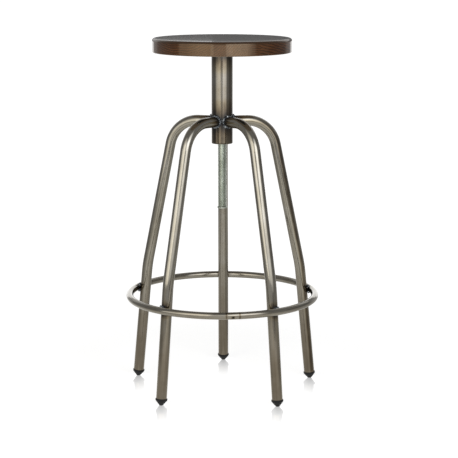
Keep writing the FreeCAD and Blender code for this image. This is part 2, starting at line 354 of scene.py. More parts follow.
def paint_side_shade(piece, facing, share):
    """Paints shade on the side of a tube that faces a direction, raising the attribute that also holds weld
    heating.
    """
    for vert, mark in marked(piece, "weld_heat_and_shade"):
        turned_to = (vert.normal.dot(facing) - SIDE_SHADE_EDGE) / (SIDE_SHADE_FULL - SIDE_SHADE_EDGE)
        mark.value = max(mark.value, share * min(1, max(0, turned_to)))


def turn_about_post(angle):
    """The turn about the post's axis that sets a piece made along +X to a bearing."""
    return Matrix.Rotation(angle, 4, UP)


def saddle_point(bearing, angle, swell=0.0):
    """A point on the line where a leg's end meets the post, moved out on both by swell."""
    radius = LEG_RADIUS + swell
    across = radius * math.cos(angle)
    out = math.sqrt((POST_RADIUS + swell) ** 2 - across ** 2)
    point = Vector((out, across, LEG_TOP + radius * math.sin(angle)))
    return turn_about_post(bearing) @ point


# Weld lines, how far their heating shows, and how far the painted shade under the seat reaches
SADDLE_STEPS = 40
SADDLE_ANGLES = [2 * math.pi * step / SADDLE_STEPS for step in range(SADDLE_STEPS)]
POST_HEAT_REACH = 42 * MM
POST_TOP_SHADE_REACH = 45 * MM
COLLAR_HEAT_Z = 575 * MM
COLLAR_HEAT_REACH = 75 * MM
COLLAR_HEAT_PEAK = 0.56
LEG_HEAT_REACH = 28 * MM
RING_WELD_REACH = 16 * MM
RING_WELD_SCORCH = 1.25
RING_SCORCH_REACH = 10 * MM
RING_SCORCH = 0.8
RING_WELD_INSET = 2.4 * MM
RING_WELD_OUT = RING_RADIUS - RING_TUBE_RADIUS + RING_WELD_INSET
RING_WELD_RISE = 6.6 * MM
RING_WELD_SPREAD = 5 * MM
RING_WELD_SPOTS = [
    Vector((RING_WELD_OUT, across * RING_WELD_SPREAD, RING_Z + side * RING_WELD_RISE))
    for side in (1, -1) for across in (-1, -0.5, 0, 0.5, 1)
]

# Marks left where the ring's seam was dressed: across the tube at both ends, along its top between them
SEAM_MARK_REACH = 2.8 * MM
SEAM_MARK_SHARE = 0.9
SEAM_MARK_BEARINGS = [math.radians(b) for b in (-3.7, 3.9)]
SEAM_TOP_BEARINGS = [math.radians(b) for b in (-3, -2, -1, 0, 1, 2, 3)]
SEAM_TOP_ANGLE = math.radians(65)
SEAM_FINE = math.radians(8)
VENT_SCORCH_REACH = 5 * MM
VENT_SCORCH = 1.7
# Painted shade on one side of the right leg: cosines of the angles at which that is full and ends
SIDE_SHADE_FACING = Vector((0.53, -0.848, 0))
SIDE_SHADE_FULL = 0.985
SIDE_SHADE_EDGE = 0.913
SIDE_SHADE_SHARE = 0.64


def ring_point(bearing, angle):
    """A point on the ring's skin, at a bearing from its seam and an angle above its outer side."""
    out = RING_RADIUS + RING_TUBE_RADIUS * math.cos(angle)
    return turn_about_post(bearing) @ Vector((out, 0, RING_Z + RING_TUBE_RADIUS * math.sin(angle)))


def centre_post():
    """Post tube with rounded ends."""
    length = POST_TOP - POST_BOTTOM
    start = (0, 0, POST_BOTTOM)
    post = tube("centre_post_tube", POST_RADIUS, POST_SIDES, start, UP, SIDE, run(length, POST_STEPS))
    apply_modifier(post, "SOLIDIFY", thickness=POST_WALL, offset=-1)
    for level in (POST_BOTTOM, POST_TOP):
        soften_rim(post, POST_EDGE_ROUND, 5, level, POST_RADIUS)
    spots = [saddle_point(bearing, angle) for bearing in LEG_BEARINGS for angle in SADDLE_ANGLES]
    add_heat_and_shade(post, spots, POST_HEAT_REACH)
    round_post = [turn_about_post(angle) @ (OUT * POST_RADIUS) for angle in SADDLE_ANGLES]
    # Painted shade: the post darkens towards its top, right under the seat
    add_heat_and_shade(post, [spot + UP * POST_TOP for spot in round_post], POST_TOP_SHADE_REACH)
    add_heat_and_shade(post, [spot + UP * COLLAR_HEAT_Z for spot in round_post], COLLAR_HEAT_REACH, COLLAR_HEAT_PEAK)
    return smooth(post)


def leg_tube():
    """One leg along +X: level run, wide bend, splayed run, slight knee, steeper run, coped end."""
    bend_angle = math.pi / 2 - LEG_UPPER_SLOPE
    knee_angle = LEG_UPPER_SLOPE - LEG_LOWER_SLOPE
    bend_reach = LEG_BEND_RADIUS * math.tan(bend_angle / 2)
    knee_reach = KNEE_RADIUS * math.tan(knee_angle / 2)
    level = BEND_R - bend_reach - POST_RADIUS
    upper = (LEG_TOP - KNEE_Z) / math.cos(LEG_UPPER_SLOPE) - bend_reach - knee_reach
    lower = KNEE_Z / math.cos(LEG_LOWER_SLOPE) - knee_reach - GLIDE_HEIGHT
    moves = run(level, LEVEL_STEPS) + bend(LEG_BEND_RADIUS, bend_angle, BEND_STEPS)
    moves += run(upper, UPPER_STEPS) + bend(KNEE_RADIUS, knee_angle, KNEE_STEPS) + run(lower, LOWER_STEPS)
    leg = tube("leg", LEG_RADIUS, LEG_SIDES, (POST_RADIUS, 0, LEG_TOP), OUT, SIDE, moves)
    for vert, mark in marked(leg, "straight"):
        if mark.vector.z == 0:
            vert.co.x = math.sqrt(POST_RADIUS ** 2 - vert.co.y ** 2)
    apply_modifier(leg, "SOLIDIFY", thickness=LEG_WALL, offset=-1)
    add_heat_and_shade(leg, [saddle_point(0, angle) for angle in SADDLE_ANGLES], LEG_HEAT_REACH)
    add_heat_and_shade(leg, RING_WELD_SPOTS, RING_WELD_REACH, RING_WELD_SCORCH)
    return smooth(leg)


def foot_ring():
    """Ring of tube, butt-welded in front, with a vent hole through the seam."""
    start = (RING_RADIUS, 0, RING_Z)
    seam = bend(RING_RADIUS, SEAM_FINE, SEAM_STEPS)
    turns = seam + bend(RING_RADIUS, 2 * math.pi - 2 * SEAM_FINE, RING_STEPS) + seam
    ring = tube("foot_ring_tube", RING_TUBE_RADIUS, RING_SIDES, start, SIDE, UP, turns)
    apply_modifier(ring, "SOLIDIFY", thickness=RING_WALL, offset=-1)
    for bearing in LEG_BEARINGS:
        place = turn_about_post(bearing - RING_SEAM_BEARING)
        add_heat_and_shade(ring, [place @ spot for spot in RING_WELD_SPOTS], RING_SCORCH_REACH, RING_SCORCH)
    marks = [ring_point(bearing, angle) for bearing in SEAM_MARK_BEARINGS for angle in SADDLE_ANGLES]
    marks += [ring_point(bearing, SEAM_TOP_ANGLE) for bearing in SEAM_TOP_BEARINGS]
    add_heat_and_shade(ring, marks, SEAM_MARK_REACH, SEAM_MARK_SHARE)
    ring.data.transform(turn_about_post(RING_SEAM_BEARING))
    out = turn_about_post(RING_SEAM_BEARING) @ OUT
    drilling = out * math.cos(RING_VENT_DIP) - UP * math.sin(RING_VENT_DIP)
    vent = out * RING_RADIUS + UP * RING_Z + drilling * RING_TUBE_RADIUS
    add_heat_and_shade(ring, [vent], VENT_SCORCH_REACH, VENT_SCORCH)
    drilled(ring, RING_VENT_RADIUS, vent, drilling, RING_TUBE_RADIUS)
    return smooth(ring)


def glide():
    """Moulded glide of the leg along +X: plug, rim, cone, cut level on the floor."""
    rim_bottom = GLIDE_HEIGHT - GLIDE_RIM_HEIGHT
    plug_radius = LEG_RADIUS - LEG_WALL
    flare = (GLIDE_RIM_RADIUS - GLIDE_TIP_RADIUS) / rim_bottom
    below = GLIDE_RIM_RADIUS * math.tan(LEG_LOWER_SLOPE)
    piece = turned("glide", [
        (0, -below),
        (GLIDE_TIP_RADIUS - flare * below, -below),
        (GLIDE_RIM_RADIUS, rim_bottom),
        (GLIDE_RIM_RADIUS, GLIDE_HEIGHT),
        (plug_radius, GLIDE_HEIGHT),
        (plug_radius, GLIDE_HEIGHT + GLIDE_PLUG_LENGTH),
        (0, GLIDE_HEIGHT + GLIDE_PLUG_LENGTH),
    ])
    for level in (rim_bottom, GLIDE_HEIGHT):
        soften_rim(piece, GLIDE_RIM_ROUND, 5, level, GLIDE_RIM_RADIUS)
    tilt = Matrix.Rotation(-LEG_LOWER_SLOPE, 4, SIDE)
    piece.data.transform(Matrix.Translation(OUT * FOOT_CIRCLE_RADIUS) @ tilt)
    reopen(piece)
    cut_level(0, clear_inner=True)
    end(piece)
    soften_rim(piece, GLIDE_TIP_ROUND, 4, 0)
    return smooth(piece)


# Welds: how far the hand strays, and the least and greatest swell and radius of a dime in millimetres
DIME_THICKNESS = 1.5 * MM
WELD_VOXEL = 0.45 * MM
LEG_WELD_STRAY = 0.05
LEG_WELD_SWELL = (0.2, 0.9)
LEG_WELD_RADII = (3.0, 4.2)
RING_WELD_STRAY = 0.6
RING_WELD_RADII = (2.8, 3.8)
SCREW_WELD_DIMES = 36
SCREW_WELD_SWELL = 0.6 * MM
SCREW_WELD_RADII = (2.6, 3.2)


def weld_bead(name, line):
    """A hand-laid weld: overlapping dimes along a line of (place, direction, radius), flowed together."""
    dime = end(begin("dime", bpy.ops.mesh.primitive_uv_sphere_add, segments=14, ring_count=8, radius=1))
    dimes = []
    for place, direction, radius in line:
        lie = UP.rotation_difference(direction).to_matrix().to_4x4()
        size = Matrix.Diagonal((radius, radius, DIME_THICKNESS, 1))
        dimes.append(copied(dime, "dime", Matrix.Translation(place) @ lie @ size))
    bpy.data.objects.remove(dime)
    bead = joined(name, dimes)
    apply_modifier(bead, "REMESH", mode="VOXEL", voxel_size=WELD_VOXEL)
    apply_modifier(bead, "SMOOTH", factor=0.5, iterations=2)
    activate(bead)
    bpy.ops.object.shade_smooth()
    return bead


def leg_welds():
    """Beads round the five coped leg ends."""
    line = []
    for bearing in LEG_BEARINGS:
        for angle in SADDLE_ANGLES:
            turn = angle + chance.uniform(-LEG_WELD_STRAY, LEG_WELD_STRAY)
            place = saddle_point(bearing, turn, chance.uniform(*LEG_WELD_SWELL) * MM)
            ahead = saddle_point(bearing, turn + 0.1, 0.5 * MM)
            line.append((place, (ahead - place).normalized(), chance.uniform(*LEG_WELD_RADII) * MM))
    return weld_bead("leg_weld_beads", line)


def ring_welds():
    """Short beads above and below the ring at each leg."""
    line = []
    for bearing in LEG_BEARINGS:
        place = turn_about_post(bearing)
        for spot in RING_WELD_SPOTS:
            drift = Vector([chance.uniform(-RING_WELD_STRAY, RING_WELD_STRAY) * MM for axis in range(3)])
            line.append((place @ (spot + drift), place @ SIDE, chance.uniform(*RING_WELD_RADII) * MM))
    return weld_bead("ring_weld_beads", line)


def screw_weld():
    """Bead that joins the height screw to the seat plate."""
    line = []
    for step in range(SCREW_WELD_DIMES):
        place = turn_about_post(2 * math.pi * step / SCREW_WELD_DIMES)
        centre = OUT * (SCREW_RADIUS + SCREW_WELD_SWELL) + UP * (PLATE_LOW.z - SCREW_WELD_SWELL)
        line.append((place @ centre, place @ SIDE, chance.uniform(*SCREW_WELD_RADII) * MM))
    return weld_bead("screw_weld_bead", line)


def height_screw():
    """Threaded rod: one turn of thread, wound up the whole length and cut square at both ends."""
    root = SCREW_RADIUS - THREAD_DEPTH
    length = SCREW_HIGH.z - SCREW_LOW.z
    low = SCREW_LOW.z - THREAD_PITCH
    flanks = ((root, 0), (root, 0.14), (SCREW_RADIUS, 0.40), (SCREW_RADIUS, 0.60), (root, 0.86), (root, 1))
    rod = drawn("threaded_rod", [(radius, low + share * THREAD_PITCH) for radius, share in flanks])
    close()
    turns = math.ceil(length / THREAD_PITCH) + 1
    apply_modifier(rod, "SCREW", angle=2 * math.pi, screw_offset=THREAD_PITCH, iterations=turns,
                   steps=32, render_steps=32, use_merge_vertices=True, merge_threshold=MERGE_GAP)
    reopen(rod)
    cut_level(SCREW_LOW.z, clear_inner=True)
    cut_level(SCREW_HIGH.z, clear_outer=True)
    end(rod)
    return smooth(rod)


def seat_board():
    """Round seat whose top falls slightly towards its edge, eased all round."""
    shoulder = SEAT_HIGH.z - SEAT_FALL
    depth = shoulder - SEAT_LOW.z
    middle = (0, 0, (SEAT_LOW.z + shoulder) / 2)
    size = {"vertices": SEAT_SIDES, "radius": SEAT_RADIUS, "depth": depth, "location": middle}
    board = end(begin("seat_round", bpy.ops.mesh.primitive_cylinder_add, **size))
    reopen(board)
    pick(board, "FACE", lambda face: face.normal.z > 0.999)
    bpy.ops.mesh.inset(thickness=SEAT_FALL_WIDTH)
    bpy.ops.transform.translate(value=(0, 0, SEAT_FALL))
    close()
    soften_rim(board, SEAT_FALL_WIDTH / 2, 8, SEAT_HIGH.z, SEAT_RADIUS - SEAT_FALL_WIDTH)
    soften_rim(board, SEAT_TOP_ROUND, 8, shoulder, SEAT_RADIUS)
    soften_rim(board, SEAT_BOTTOM_ROUND, 5, SEAT_LOW.z, SEAT_RADIUS)
    reopen(board)
    pick(board, "FACE", lambda face: len(face.verts) > 4)
    for width in SEAT_FACE_INSETS:
        bpy.ops.mesh.inset(thickness=width * MM)
    close()
    smooth(board)
    apply_modifier(board, "WEIGHTED_NORMAL", keep_sharp=True)
    return board


def bush(name, low, high):
    """Bush with a chamfered bore."""
    outer = (high.x - low.x) / 2
    bore = SCREW_RADIUS + BORE_GAP
    mouth = bore + MM
    return smooth(turned(name, [
        (mouth, low.z), (outer, low.z), (outer, high.z), (mouth, high.z),
        (bore, high.z - MM), (bore, low.z + MM), (mouth, low.z),
    ]))


def cross_recess(piece, place):
    """Cuts a cross-shaped driver recess into the underside of a screw head."""
    for width, depth in ((CROSS_WIDTH, CROSS_SLOT), (CROSS_SLOT, CROSS_WIDTH)):
        size = (width, depth, 2 * CROSS_DEPTH)
        cutter = begin("cutter", bpy.ops.mesh.primitive_cube_add, size=1, location=place, scale=size)
        cut_away(piece, end(cutter))


def seat_screws():
    """Six pan head wood screws with cross recesses, as one group."""
    tip = PLATE_HIGH.z - PLATE_LOW.z + SEAT_SCREW_DEPTH
    screw = turned("seat_screw", [
        (0, -SEAT_SCREW_HEAD_HEIGHT),
        (SEAT_SCREW_HEAD_RADIUS, -SEAT_SCREW_HEAD_HEIGHT),
        (SEAT_SCREW_HEAD_RADIUS, 0),
        (SEAT_SCREW_RADIUS, 0),
        (SEAT_SCREW_RADIUS, tip - SEAT_SCREW_POINT),
        (0, tip),
    ], sides=40)
    soften_rim(screw, SEAT_SCREW_HEAD_ROUND, 6, -SEAT_SCREW_HEAD_HEIGHT, SEAT_SCREW_HEAD_RADIUS)
    cross_recess(screw, (0, 0, -SEAT_SCREW_HEAD_HEIGHT))
    smooth(screw)
    group = []
    for index in range(SEAT_SCREW_COUNT):
        bearing = 2 * math.pi * (index + 0.5) / SEAT_SCREW_COUNT
        place = turn_about_post(bearing) @ (OUT * SEAT_SCREW_CIRCLE_RADIUS) + UP * PLATE_LOW.z
        driven = Matrix.Rotation(chance.uniform(0, math.pi), 4, UP)
        group.append(copied(screw, "screw", Matrix.Translation(place) @ driven))
    bpy.data.objects.remove(screw)
    return joined("seat_screw_group", group)


def stop_screw():
    """Countersunk screw under the stop washer."""
    low = WASHER_LOW.z
    screw = turned("countersunk_stop_screw", [
        (0, low),
        (STOP_HEAD_RADIUS, low),
        (STOP_SCREW_RADIUS, low + STOP_HEAD_HEIGHT),
        (STOP_SCREW_RADIUS, low + STOP_SCREW_LENGTH),
        (0, low + STOP_SCREW_LENGTH),
    ])
    cross_recess(screw, (0, 0, low))
    return smooth(screw)


def stop_washer():
    """Countersunk washer at the foot of the height screw."""
    hole = STOP_SCREW_RADIUS + BORE_GAP
    sink = STOP_HEAD_RADIUS + STOP_HEAD_GAP
    edge = WASHER_EDGE_CHAMFER
    return smooth(turned("turned_stop_washer", [
        (sink, WASHER_LOW.z),
        (WASHER_RADIUS - edge, WASHER_LOW.z),
        (WASHER_RADIUS, WASHER_LOW.z + edge),
        (WASHER_RADIUS, WASHER_HIGH.z - edge),
        (WASHER_RADIUS - edge, WASHER_HIGH.z),
        (hole, WASHER_HIGH.z),
        (hole, WASHER_LOW.z + STOP_HEAD_HEIGHT + STOP_HEAD_GAP),
        (sink, WASHER_LOW.z),
    ]))


def seat_plate():
    """Round plate between the height screw and the seat."""
    low, high = PLATE_LOW.z, PLATE_HIGH.z
    return smooth(turned("seat_mount_plate", [
        (SCREW_RADIUS, low),
        (PLATE_RADIUS - PLATE_EDGE_CHAMFER, low),
        (PLATE_RADIUS, low + PLATE_EDGE_CHAMFER),
        (PLATE_RADIUS, high),
        (SCREW_RADIUS, high),
        (SCREW_RADIUS, low),
    ], sides=128))


def linear(code):
    """A colour written as sRGB hex, as linear light."""
    parts = [int(code[i:i + 2], 16) / 255 for i in (1, 3, 5)]
    return tuple(p / 12.92 if p <= 0.04045 else ((p + 0.055) / 1.055) ** 2.4 for p in parts) + (1.0,)


def feed(tree, node, inputs):
    """Gives a node its inputs, by name or in order: values, sockets, or nodes for their results.

    A MapRange takes its value, the two ends it is read between, and what these become."""
    for key, value in inputs.items() if isinstance(inputs, dict) else enumerate(inputs):
        if isinstance(value, bpy.types.Node):
            value = next(socket for socket in value.outputs if socket.enabled)
        if isinstance(value, bpy.types.NodeSocket):
            tree.links.new(value, node.inputs[key])
        else:
            node.inputs[key].default_value = value


def add_node(tree, kind, inputs=(), stops=(), **settings):
    """Adds a node with its settings, its inputs and a ramp's stops."""
    made = tree.nodes.new("ShaderNode" + kind)
    for setting, value in settings.items():
        setattr(made, setting, value)
    feed(tree, made, inputs)
    if stops:
        ramp = made.color_ramp.elements
        ramp.remove(ramp[1])
        ramp[0].position, ramp[0].color = stops[0][0], linear(stops[0][1])
        for place, code in stops[1:]:
            ramp.new(place).color = linear(code)
    return made


def new_material(name):
    """A material with its node tree and its Principled shader."""
    material = bpy.data.materials.new(name)
    material.use_nodes = True
    tree = material.node_tree
    return material, tree, tree.nodes["Principled BSDF"]


# Sockets of a Mix node: its factor, and the two colours or vectors that it mixes
MIX_FACTOR, MIX_A, MIX_B = 0, 6, 7
VECTOR_A, VECTOR_B = 4, 5
MULTIPLIED = {"data_type": "RGBA", "blend_type": "MULTIPLY"}
# Heights between which the darkening towards the floor fades out
LOW_DARKENING_SPAN = [100 * MM, 260 * MM]


def lacquered_steel(name, bare_stops, line_dark, pit_size, pit_stops, roughness):
    """Steel tube, bare under clear lacquer: yellowish grey metal, clouded with faint rust brown, streaked
    along its length by the drawing die, darkened by weld heating and by painted shade, darker and browner
    low down."""
    material, tree, surface = new_material(name)
    straight = add_node(tree, "Attribute", attribute_name="straight").outputs["Vector"]
    # Weld heating and painted shade, held in one attribute
    heat_and_shade = add_node(tree, "Attribute", attribute_name="weld_heat_and_shade").outputs["Fac"]
    place = add_node(tree, "TexCoord").outputs["Object"]
    # Clouds of rust bloom, some 45 mm across
    clouds = add_node(tree, "TexNoise", {"Vector": place, "Scale": 1 / (45 * MM),
                                         "Detail": 4, "Roughness": 0.65})
    bare = add_node(tree, "ValToRGB", [clouds], stops=bare_stops)
    # Die lines run along the tube; real ones are 0.1 mm wide, drawn 3 mm wide so that they show
    lengthwise = add_node(tree, "Mapping", {"Vector": straight, "Scale": (1, 1, 0.02)})
    lines = add_node(tree, "TexNoise", {"Vector": lengthwise, "Scale": 1 / (4.5 * MM),
                                        "Detail": 2, "Roughness": 0.6})
    line_shade = add_node(tree, "ValToRGB", [lines], stops=[(0.3, line_dark), (0.65, "#ffffff")])
    streaked = add_node(tree, "Mix", {MIX_FACTOR: 1.0, MIX_A: bare, MIX_B: line_shade}, **MULTIPLIED)
    # Small dark pits, a few millimetres apart
    pits = add_node(tree, "TexNoise", {"Vector": place, "Scale": 1 / pit_size,
                                       "Detail": 2, "Roughness": 0.5})
    pit_mask = add_node(tree, "ValToRGB", [pits], stops=pit_stops)
    pitted = add_node(tree, "Mix", {MIX_FACTOR: pit_mask, MIX_A: streaked,
                                    MIX_B: linear("#4d4135")}, data_type="RGBA")
    # The lowest 26 cm darker and browner
    height = add_node(tree, "SeparateXYZ", [place])
    low = add_node(tree, "MapRange", [height.outputs["Z"], *LOW_DARKENING_SPAN])
    low_darkening = add_node(tree, "ValToRGB", [low], stops=[(0.0, "#c4bbb0"), (1.0, "#ffffff")])
    darkened_low = add_node(tree, "Mix", {MIX_FACTOR: 1.0, MIX_A: pitted, MIX_B: low_darkening}, **MULTIPLIED)
    # Weld heating: a trace of straw, brown, then dark scale, its edge wavering along the tube; the same
    # colours draw the painted shade under the seat and on one side of the right leg
    along = add_node(tree, "Mapping", {"Vector": straight, "Scale": (1, 1, 0.3)})
    waver = add_node(tree, "TexNoise", {"Vector": along, "Scale": 1 / (9 * MM), "Detail": 4,
                                        "Roughness": 0.6})
    drift = add_node(tree, "MapRange", [waver, 0.25, 0.75, -0.22, 0.22])
    reached = add_node(tree, "MapRange", [heat_and_shade, 0.0, 0.3])
    swayed = add_node(tree, "Math", [drift, reached], operation="MULTIPLY")
    wavered_heat_and_shade = add_node(tree, "Math", [heat_and_shade, swayed], operation="ADD")
    tint = add_node(tree, "ValToRGB", [wavered_heat_and_shade], stops=[
        (0.0, "#ffffff"), (0.20, "#f4eee0"), (0.45, "#d2c9b9"), (0.62, "#b3a798"), (0.80, "#847d76"),
        (1.0, "#505155")])
    coloured = add_node(tree, "Mix", {MIX_FACTOR: 1.0, MIX_A: darkened_low, MIX_B: tint}, **MULTIPLIED)
    rough = add_node(tree, "MapRange", [lines, 0.3, 0.7, roughness, roughness + 0.03])
    relief = add_node(tree, "Bump", {"Height": lines, "Strength": 0.04, "Distance": 0.05 * MM})
    feed(tree, surface, {"Base Color": coloured, "Roughness": rough, "Normal": relief, "Metallic": 1.0,
                         "Coat Weight": 0.5, "Coat Roughness": 0.07})
    return material


def weld_metal():
    """Weld metal as laid: silver crests between bands of blue-black scale, glinting from its ripples."""
    material, tree, surface = new_material("as_laid_weld_metal")
    place = add_node(tree, "TexCoord").outputs["Object"]
    scale = add_node(tree, "TexNoise", {"Vector": place, "Scale": 1 / (5 * MM),
                                        "Detail": 3, "Roughness": 0.6})
    colour = add_node(tree, "ValToRGB", [scale], stops=[
        (0.38, "#34363a"), (0.54, "#62666a"), (0.68, "#b0b5b8")])
    rough = add_node(tree, "MapRange", [scale, 0.3, 0.7, 0.4, 0.18])
    grain = add_node(tree, "TexNoise", {"Vector": place, "Scale": 1 / (0.8 * MM), "Detail": 2})
    relief = add_node(tree, "Bump", {"Height": grain, "Strength": 0.4, "Distance": 0.15 * MM})
    feed(tree, surface, {"Base Color": colour, "Roughness": rough, "Normal": relief, "Metallic": 1.0})
    return material


def zinc_plated_steel():
    """Bright zinc plate, passivated: pale silver with a cool green cast and faint clouding."""
    material, tree, surface = new_material("passivated_zinc_plate")
    place = add_node(tree, "TexCoord").outputs["Object"]
    clouds = add_node(tree, "TexNoise", {"Vector": place, "Scale": 1 / (30 * MM),
                                         "Detail": 2, "Roughness": 0.5})
    colour = add_node(tree, "ValToRGB", [clouds], stops=[
        (0.30, "#aeb4a9"), (0.50, "#bac0b6"), (0.70, "#c4c9c1")])
    feed(tree, surface, {"Base Color": colour, "Roughness": 0.2, "Metallic": 1.0})
    return material


def mill_plate_steel():
    """Hot-rolled plate: dull blue-grey mill scale with paler rubbed patches."""
    material, tree, surface = new_material("hot_rolled_plate")
    place = add_node(tree, "TexCoord").outputs["Object"]
    scale = add_node(tree, "TexNoise", {"Vector": place, "Scale": 1 / (14 * MM),
                                        "Detail": 6, "Roughness": 0.65})
    colour = add_node(tree, "ValToRGB", [scale], stops=[
        (0.32, "#3b3d40"), (0.52, "#54565a"), (0.72, "#7a7873")])
    rough = add_node(tree, "MapRange", [scale, 0.3, 0.7, 0.5, 0.34])
    feed(tree, surface, {"Base Color": colour, "Roughness": rough, "Metallic": 1.0})
    return material


def moulded_plastic(name, dark, pale, roughness):
    """Injection-moulded plastic: one even colour, dull from the fine spark-eroded texture of its mould."""
    material, tree, surface = new_material(name)
    place = add_node(tree, "TexCoord").outputs["Object"]
    mottle = add_node(tree, "TexNoise", {"Vector": place, "Scale": 1 / (6 * MM), "Detail": 3})
    colour = add_node(tree, "ValToRGB", [mottle], stops=[(0.3, dark), (0.7, pale)])
    grain = add_node(tree, "TexNoise", {"Vector": place, "Scale": 1 / (0.5 * MM), "Detail": 1})
    relief = add_node(tree, "Bump", {"Height": grain, "Strength": 0.25, "Distance": 0.08 * MM})
    feed(tree, surface, {"Base Color": colour, "Roughness": roughness, "Normal": relief,
                         "Specular IOR Level": 0.25})
    return material


# Seat boards: the glue lines between them, the pith that each board's growth rings turn about, as
# distances right of the middle and above it, and the width of its yearly rings
BOARD_EDGES = (44 * MM, 82 * MM)
BOARD_PITHS = ((-93, 106), (60, -150), (20, -300))
RING_WIDTHS = (4.6, 4.2, 5.6)
# Heights between which the painted shade and the filled pores begin below the top, and the lacquer alone
# begins below
TOP_EDGE_SPAN = [SEAT_HIGH.z - 9 * MM, SEAT_HIGH.z - 5 * MM]
BARE_SPAN = [SEAT_LOW.z + 0.3 * MM, SEAT_LOW.z + 1.2 * MM]


def stained_oak():
    """Oak boards with the grain front to back, stained brown and sealed with clear lacquer: growth rings
    show as arcs on the end grain in front, pores as dark flecks; shade is painted darker on the top and
    the eased edge, the lacquer mirrors the lamps."""
    material, tree, surface = new_material("stained_lacquered_oak")
    place = add_node(tree, "TexCoord").outputs["Object"]
    split = add_node(tree, "SeparateXYZ", [place])
    middle = (SEAT_LOW.z + SEAT_HIGH.z) / 2
    # Each board's pith and ring width, chosen by the place across the seat
    marks = [(x * MM, width * MM, middle + z * MM) for (x, z), width in zip(BOARD_PITHS, RING_WIDTHS)]
    board = marks[0]
    for edge, mark in zip(BOARD_EDGES, marks[1:]):
        past = add_node(tree, "Math", [split.outputs["X"], edge], operation="GREATER_THAN")
        board = add_node(tree, "Mix", {MIX_FACTOR: past, VECTOR_A: board, VECTOR_B: mark},
                         data_type="VECTOR")
    pith = add_node(tree, "SeparateXYZ", [board])
    # The grain wanders: low, long waves
    wander = add_node(tree, "Mapping", {"Vector": place, "Scale": (1, 0.12, 1)})
    waves = add_node(tree, "TexNoise", {"Vector": wander, "Scale": 1 / (24 * MM), "Detail": 3,
                                        "Roughness": 0.55})
    swing = add_node(tree, "MapRange", [waves, 0.2, 0.8, -3 * MM, 3 * MM])
    from_pith = add_node(tree, "VectorMath", [place, board], operation="SUBTRACT")
    flat = add_node(tree, "VectorMath", [from_pith, (1, 0, 1)], operation="MULTIPLY")
    radius = add_node(tree, "VectorMath", [flat], operation="LENGTH")
    swung = add_node(tree, "Math", [radius, swing], operation="ADD")
    years = add_node(tree, "Math", [swung, pith.outputs["Y"]], operation="DIVIDE")
    year = add_node(tree, "Math", [years], operation="FRACT")
    growth = add_node(tree, "ValToRGB", [year], stops=[
        (0.0, "#24130a"), (0.18, "#2c180c"), (0.40, "#4f2f1a"), (0.80, "#57361e"), (1.0, "#3a2113")])
    # Years differ: bands of darker and paler growth, some 18 mm across
    tone = add_node(tree, "TexNoise", {"Vector": wander, "Scale": 1 / (18 * MM), "Detail": 2})
    tone_shade = add_node(tree, "ValToRGB", [tone], stops=[(0.3, "#c9b8a6"), (0.7, "#ffffff")])
    toned = add_node(tree, "Mix", {MIX_FACTOR: 1.0, MIX_A: growth, MIX_B: tone_shade}, **MULTIPLIED)
    # Open pores: dark flecks 0.6 mm wide and some 15 mm long along the grain
    lengthwise = add_node(tree, "Mapping", {"Vector": place, "Scale": (1, 0.04, 1)})
    pores = add_node(tree, "TexNoise", {"Vector": lengthwise, "Scale": 1 / (1.4 * MM), "Detail": 2,
                                        "Roughness": 0.6})
    pore_mask = add_node(tree, "ValToRGB", [pores], stops=[(0.54, "#000000"), (0.68, "#c0c0c0")])
    pored = add_node(tree, "Mix", {MIX_FACTOR: pore_mask, MIX_A: toned,
                                   MIX_B: linear("#2a1a0e")}, data_type="RGBA")
    # Painted shade: the top and its rounded edge darker
    top_shade_share = add_node(tree, "MapRange", [split.outputs["Z"], *TOP_EDGE_SPAN, 0.0, 0.75])
    dark = add_node(tree, "Mix", {MIX_FACTOR: top_shade_share, MIX_A: pored,
                                  MIX_B: linear("#2c1a0e")}, data_type="RGBA")
    # The underside has lacquer only
    beneath = add_node(tree, "MapRange", [split.outputs["Z"], *BARE_SPAN, 1.0, 0.0])
    sealed = add_node(tree, "Mix", {MIX_FACTOR: beneath, MIX_A: dark,
                                    MIX_B: linear("#83776a")}, data_type="RGBA")
    # The lacquer fills the pores on the top
    open_pores = add_node(tree, "MapRange", [split.outputs["Z"], *TOP_EDGE_SPAN, 0.12, 0.0])
    relief = add_node(tree, "Bump", {"Height": pore_mask, "Strength": open_pores,
                                     "Distance": 0.1 * MM}, invert=True)
    # The stain in the lacquer tints what it mirrors
    feed(tree, surface, {"Base Color": sealed, "Roughness": 0.12, "Normal": relief,
                         "Specular IOR Level": 0.47, "Specular Tint": linear("#ffdba4"),
                         "Coat Weight": 0.35, "Coat Roughness": 0.08})
    return material


STEEL = lacquered_steel(
    "lacquered_drawn_steel_tube", [(0.30, "#858075"), (0.50, "#908c82"), (0.70, "#97948d")],
    "#ebe8e3", 2.6 * MM, [(0.72, "#000000"), (0.82, "#707070")], 0.10)
PIPE = lacquered_steel(
    "lacquered_steel_pipe", [(0.30, "#6f685d"), (0.50, "#7a746a"), (0.70, "#817d76")],
    "#dcd9d4", 3.0 * MM, [(0.62, "#000000"), (0.72, "#a8a8a8")], 0.13)
WELD = weld_metal()
ZINC = zinc_plated_steel()
PLATE_STEEL = mill_plate_steel()
BLACK_PLASTIC = moulded_plastic("moulded_black_polythene", "#0e0f10", "#151618", 0.5)
NYLON = moulded_plastic("moulded_natural_nylon", "#c9c4b4", "#d6d2c4", 0.45)
OAK = stained_oak()


def dress(piece, material, slot, body, *nodes):
    """Gives a finished piece its material and the body it rides on, and hides the nodes it stands for; its
    slot is not used.
    """
    piece.data.materials.clear()
    piece.data.materials.append(material)
    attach(piece, body)
    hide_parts(*nodes)


